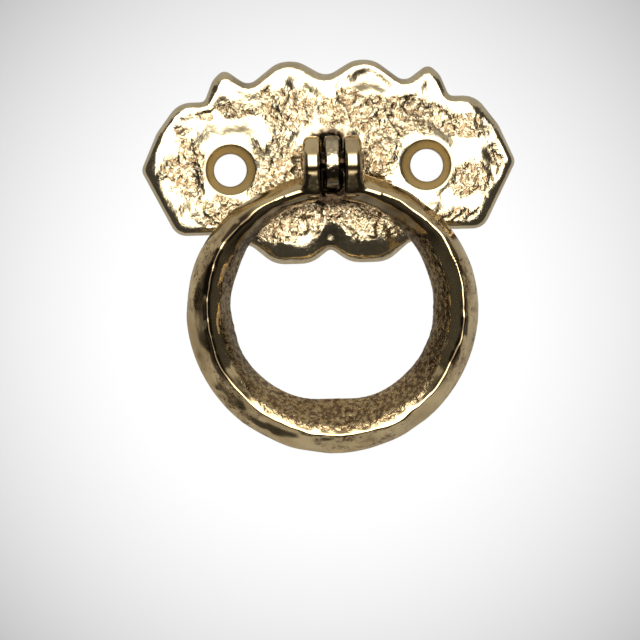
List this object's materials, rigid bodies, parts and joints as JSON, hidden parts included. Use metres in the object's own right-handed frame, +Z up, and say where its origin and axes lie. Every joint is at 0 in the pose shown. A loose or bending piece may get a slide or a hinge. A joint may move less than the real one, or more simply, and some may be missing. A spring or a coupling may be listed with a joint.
{
  "type": "ring pull handle",
  "caption": "Cast brass ring pull: scalloped backplate with countersunk screw holes, and a ridged eccentric ring that hangs from a central lug on a hinge pin.",
  "frame": {"origin": "midway between the two screw holes, on the flat back of the plate", "axes": "+Z up along the hanging ring, +Y into the drawer front that the plate is screwed to, +X to the right seen from the front"},
  "size_m": [0.057, 0.0121, 0.0597],
  "materials": {
    "plate_brass": "aged polished casting with fine pits",
    "ring_brass": "aged casting, polished along the ridge",
    "pin_brass": "drawn rod, ends peened"
  },
  "bodies": {
    "plate": {"backplate": "plate_brass"},
    "swing": {"ring": "ring_brass", "hinge_pin": "pin_brass"}
  },
  "joints": [
    {"name": "ring_swing", "type": "hinge", "parent": "plate", "child": "swing", "pos_m": [0, -0.0082, 0.0006], "axis": [-1, 0, 0], "range_deg": [-7, 186]}
  ]
}
